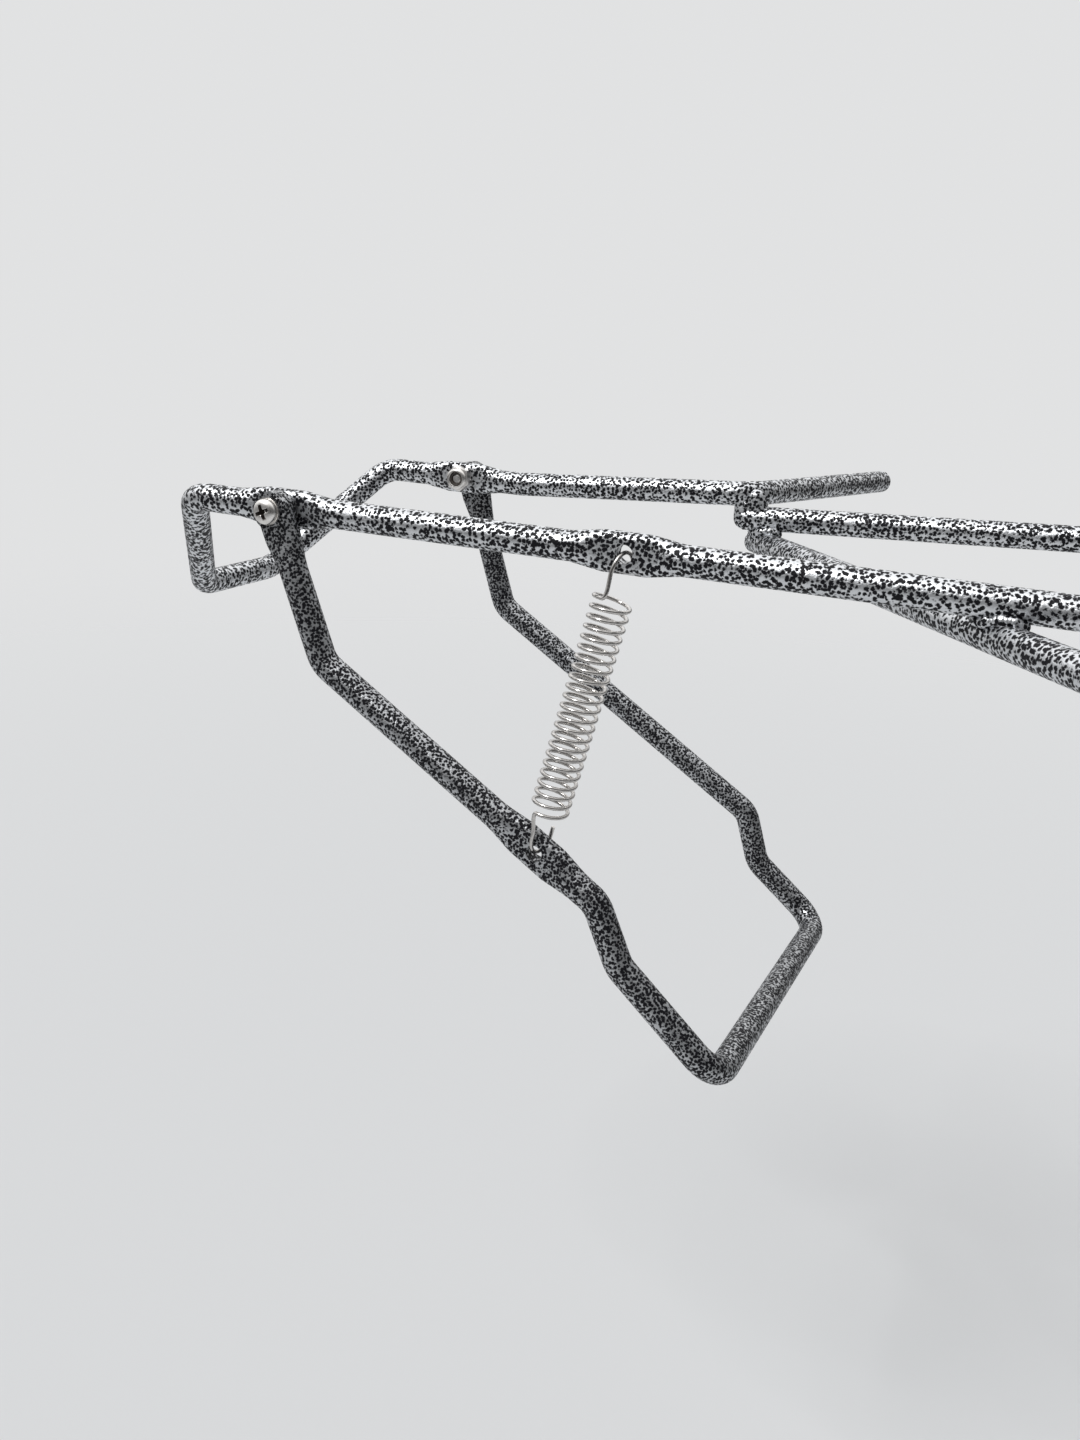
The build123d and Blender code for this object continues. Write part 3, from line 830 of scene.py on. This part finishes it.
def wire_tree():
    """Geometry Nodes: round wire along a curve, with closed ends and a material."""
    tree = bpy.data.node_groups.new("drawn_wire", "GeometryNodeTree")
    face = tree.interface
    face.new_socket("Geometry", in_out="INPUT", socket_type="NodeSocketGeometry")
    for label, kind in (("Wire radius", "NodeSocketFloat"), ("Sides", "NodeSocketInt"),
                        ("Material", "NodeSocketMaterial")):
        face.new_socket(label, in_out="INPUT", socket_type=kind)
    face.new_socket("Geometry", in_out="OUTPUT", socket_type="NodeSocketGeometry")
    make = tree.nodes.new
    link = tree.links.new
    given, result = make("NodeGroupInput"), make("NodeGroupOutput")
    section = make("GeometryNodeCurvePrimitiveCircle")
    link(given.outputs["Wire radius"], section.inputs["Radius"])
    link(given.outputs["Sides"], section.inputs["Resolution"])
    wire = make("GeometryNodeCurveToMesh")
    wire.inputs["Fill Caps"].default_value = True
    link(given.outputs["Geometry"], wire.inputs["Curve"])
    link(section.outputs["Curve"], wire.inputs["Profile Curve"])
    smooth = make("GeometryNodeSetShadeSmooth")
    link(wire.outputs["Mesh"], smooth.inputs["Geometry"])
    real = make("GeometryNodeRealizeInstances")
    link(smooth.outputs["Geometry"], real.inputs["Geometry"])
    paint = make("GeometryNodeSetMaterial")
    link(real.outputs["Geometry"], paint.inputs["Geometry"])
    link(given.outputs["Material"], paint.inputs["Material"])
    link(paint.outputs["Geometry"], result.inputs["Geometry"])
    return tree


spring_line = seam_curve("spring_line", [[spring_seat + spring_turn @ point for point in wire_line]])
spring = settled("coil_spring", spring_line, wire_tree(), Wire_radius=wire_r, Sides=wire_sides,
                 Material=stainless_wire())
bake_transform(spring)
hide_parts("tension_spring")

# ---- clamp bolts ----
# Two M6 hexagon bolts draw the clamp halves together, with a stamped washer at each end and a nut behind.
# The bolts are cold headed with rolled threads, and all of it is zinc plated.
bolt_r = 3.0 * mm
bolt_pitch = 1.0 * mm
bolt_head = 4.0 * mm
bolt_tip = 0.9 * mm
bolt_neck = 1.8 * mm
bolt_thread_in = 0.4 * mm
bolt_thread_end = 2.0 * mm
nut_play = 0.03 * mm
nut_lead = 0.5 * mm
bolt_steps = 72
far_bolt_turn = 17.0


def bolt_mesh(name, flats, long):
    """Threaded shank of that length under a chamfered hexagon head, its bearing face at zero height."""

    def profile(angle):
        """Rows from the tip up to the top of the head."""
        tip = [(0, -long), (bolt_r - bolt_tip, -long)]
        thread = threaded(bolt_r, -long + bolt_thread_in, -bolt_thread_end, bolt_pitch, angle)
        neck = [(bolt_r, -bolt_neck), (bolt_r, 0.0)]
        head = hex_rows(flats, 0.0, bolt_head, angle, chamfer_low=False)
        return tip + thread + neck + head + [(0, bolt_head)]

    return turned(name, profile, bolt_steps)


def plain_nut_mesh(name, flats, deep):
    """Hexagon nut of that depth with a countersunk bore."""

    def profile(angle):
        """Rows up the outside and down the bore."""
        bore_r = bolt_r + nut_play
        mouth_r = bolt_r + nut_lead
        bore = [(mouth_r, deep), (bore_r, deep - nut_lead), (bore_r, nut_lead), (mouth_r, 0.0)]
        return hex_rows(flats, 0.0, deep, angle) + bore

    return turned(name, profile, bolt_steps)


for word, turn in (("near", 0.0), ("far", far_bolt_turn)):
    for node_name, outward in ((f"{word}_clamp_bolt", 1), (f"{word}_clamp_nut", -1)):
        low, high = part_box(node_name)
        flats = high.z - low.z
        long = high.x - low.x
        if outward > 0:
            mesh = bolt_mesh(node_name + "_mesh", flats, long - bolt_head)
        else:
            mesh = plain_nut_mesh(node_name + "_mesh", flats, long)
        soften(mesh)
        seat_x = high.x - bolt_head if outward > 0 else high.x
        seat_place = (seat_x, (low.y + high.y) / 2, (low.z + high.z) / 2)
        piece = placed(node_name + "_dressed", mesh, seat_place, (outward, 0, 0), turn, zinc)
        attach(piece, "frame")
        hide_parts(node_name)
    finish(f"{word}_clamp_washer_cap", zinc)
    finish(f"{word}_clamp_washer_back", zinc)

# ---- plugs and liner ----
# Moulded black plugs close the cross tube.
# A rubber liner in two halves lies between the clamp and its post and keeps the clamp from slipping.
plug_rough = 0.42
plug_grain = 0.5 * mm
liner_rough = 0.8
liner_grain = 0.9 * mm


def moulded_black(name, roughness, grain):
    """Black moulding with a fine grain."""
    material, tree, shader, coords = new_material(name)
    speck = noise(tree, coords, grain, 3.0, 0.6)
    tree.links.new(ramp(tree, speck, (0.3, 0.010), (0.8, 0.035)), shader.inputs["Base Color"])
    shader.inputs["Roughness"].default_value = roughness
    relief(tree, shader, speck, 0.3, 0.1 * mm)
    return material


plug_black = moulded_black("plug_black", plug_rough, plug_grain)
liner_black = moulded_black("liner_black", liner_rough, liner_grain)
for name, material in (("near_tube_plug", plug_black), ("far_tube_plug", plug_black),
                       ("liner_back", liner_black), ("liner_cap", liner_black)):
    finish(name, material)

# ---- studio ----
# Pale floor that fades into an even pale backdrop, and one big soft light high on the left.
# Bright metal also shows a room that is pale overhead and behind and dim on the near side.
backdrop_grey = (0.755, 0.76, 0.765)
floor_drop = 220 * mm
floor_reach = 6.0
floor_sides = 64
fade_from = 0.5
fade_to = 2.2
room_light = 0.46
room_tint = (0.97, 0.985, 1.0)
overhead = (-0.3, 0.3, 0.9)
overhead_light = 1.4
room_from = -0.25
room_to = 0.85
room_dark = 0.06
room_dim = 0.16
room_pale = 0.8
sun_strength = 1.9
sun_spread = math.radians(20.0)
sun_way = Vector((0.35, 0.52, -0.78))
floor_mesh = bpy.data.meshes.new("floor")
build = bmesh.new()
bmesh.ops.create_circle(build, cap_ends=True, segments=floor_sides, radius=floor_reach)
bmesh.ops.translate(build, verts=build.verts, vec=(0, 0, cad_box[0][2] - floor_drop))
build.to_mesh(floor_mesh)
build.free()
floor = bpy.data.objects.new("floor", floor_mesh)
bpy.context.collection.objects.link(floor)
floor_paint, floor_tree, floor_shader, floor_coords = new_material("floor_paint")
floor_shader.inputs["Base Color"].default_value = (*backdrop_grey, 1)
floor_shader.inputs["Roughness"].default_value = 0.95
floor_shader.inputs["Specular IOR Level"].default_value = 0.0
away = floor_tree.nodes.new("ShaderNodeVectorMath")
away.operation = "LENGTH"
floor_tree.links.new(floor_coords, away.inputs[0])
fade = floor_tree.nodes.new("ShaderNodeMapRange")
fade.inputs["From Min"].default_value = fade_from
fade.inputs["From Max"].default_value = fade_to
fade.interpolation_type = "SMOOTHSTEP"
floor_tree.links.new(away.outputs["Value"], fade.inputs["Value"])
clear = floor_tree.nodes.new("ShaderNodeBsdfTransparent")
faded = floor_tree.nodes.new("ShaderNodeMixShader")
floor_tree.links.new(fade.outputs[0], faded.inputs[0])
floor_tree.links.new(floor_shader.outputs[0], faded.inputs[1])
floor_tree.links.new(clear.outputs[0], faded.inputs[2])
floor_tree.links.new(faded.outputs[0], floor_tree.nodes["Material Output"].inputs["Surface"])
floor_mesh.materials.append(floor_paint)

surround = bpy.data.worlds.new("surround")
bpy.context.scene.world = surround
surround.use_nodes = True
sky = surround.node_tree
sky.nodes.clear()
paths = sky.nodes.new("ShaderNodeLightPath")


def background(strength, tone):
    """Even world light of one tone."""
    node = sky.nodes.new("ShaderNodeBackground")
    node.inputs["Color"].default_value = (*tone, 1)
    node.inputs["Strength"].default_value = strength
    return node.outputs[0]


def choose(switch, otherwise, chosen):
    """Chosen shader where the switch is on."""
    node = sky.nodes.new("ShaderNodeMixShader")
    sky.links.new(switch, node.inputs[0])
    sky.links.new(otherwise, node.inputs[1])
    sky.links.new(chosen, node.inputs[2])
    return node.outputs[0]


mirrored = sky.nodes.new("ShaderNodeBackground")
direction = sky.nodes.new("ShaderNodeTexCoord").outputs["Generated"]
toward_top = sky.nodes.new("ShaderNodeVectorMath")
toward_top.operation = "DOT_PRODUCT"
toward_top.inputs[1].default_value = overhead
sky.links.new(direction, toward_top.inputs[0])
mirrored.inputs["Strength"].default_value = overhead_light
room = sky.nodes.new("ShaderNodeMapRange")
room.inputs["From Min"].default_value = room_from
room.inputs["From Max"].default_value = room_to
sky.links.new(toward_top.outputs["Value"], room.inputs["Value"])
room_tones = ramp(sky, room.outputs[0], (0.0, room_dark), (0.35, room_dim), (0.8, room_pale), (1.0, 1.0))
sky.links.new(room_tones, mirrored.inputs["Color"])
lit = background(room_light, room_tint)
lit = choose(paths.outputs["Is Camera Ray"], lit, background(1.0, backdrop_grey))
lit = choose(paths.outputs["Is Glossy Ray"], lit, mirrored.outputs[0])
lit = choose(paths.outputs["Is Transmission Ray"], lit, background(1.0, backdrop_grey))
sky.links.new(lit, sky.nodes.new("ShaderNodeOutputWorld").inputs["Surface"])

sun_data = bpy.data.lights.new("soft_light", "SUN")
sun_data.energy = sun_strength
sun_data.angle = sun_spread
sun = bpy.data.objects.new("soft_light", sun_data)
bpy.context.collection.objects.link(sun)
sun.rotation_euler = sun_way.to_track_quat("-Z", "Y").to_euler()

# ---- camera ----
# A short lens a third of a metre from the near pivot, on the near side of the loop and a little above it.
# The near pivot shows up and left of the middle of the frame.
right = Vector((0.9188, 0.3895, 0.0644))
down = Vector((0.1750, -0.2554, -0.9509))
forward = Vector((-0.3539, 0.8849, -0.3028))
pivot_distance = 0.337
pivot_across = -0.2108
pivot_below = -0.1767
near_pivot = Vector((pivot.x, near_leg_y, pivot.z))
sight = right * pivot_across + down * pivot_below + forward
camera_data = bpy.data.cameras.new("camera")
camera_data.lens = 30.0
camera_data.sensor_width = 36.0
camera_data.clip_start = 0.01
camera = bpy.data.objects.new("camera", camera_data)
bpy.context.collection.objects.link(camera)
turn = Matrix((right, -down, -forward)).transposed().to_4x4()
camera.matrix_world = Matrix.Translation(near_pivot - sight * pivot_distance) @ turn
bpy.context.scene.camera = camera
bpy.context.scene.view_settings.view_transform = "Standard"
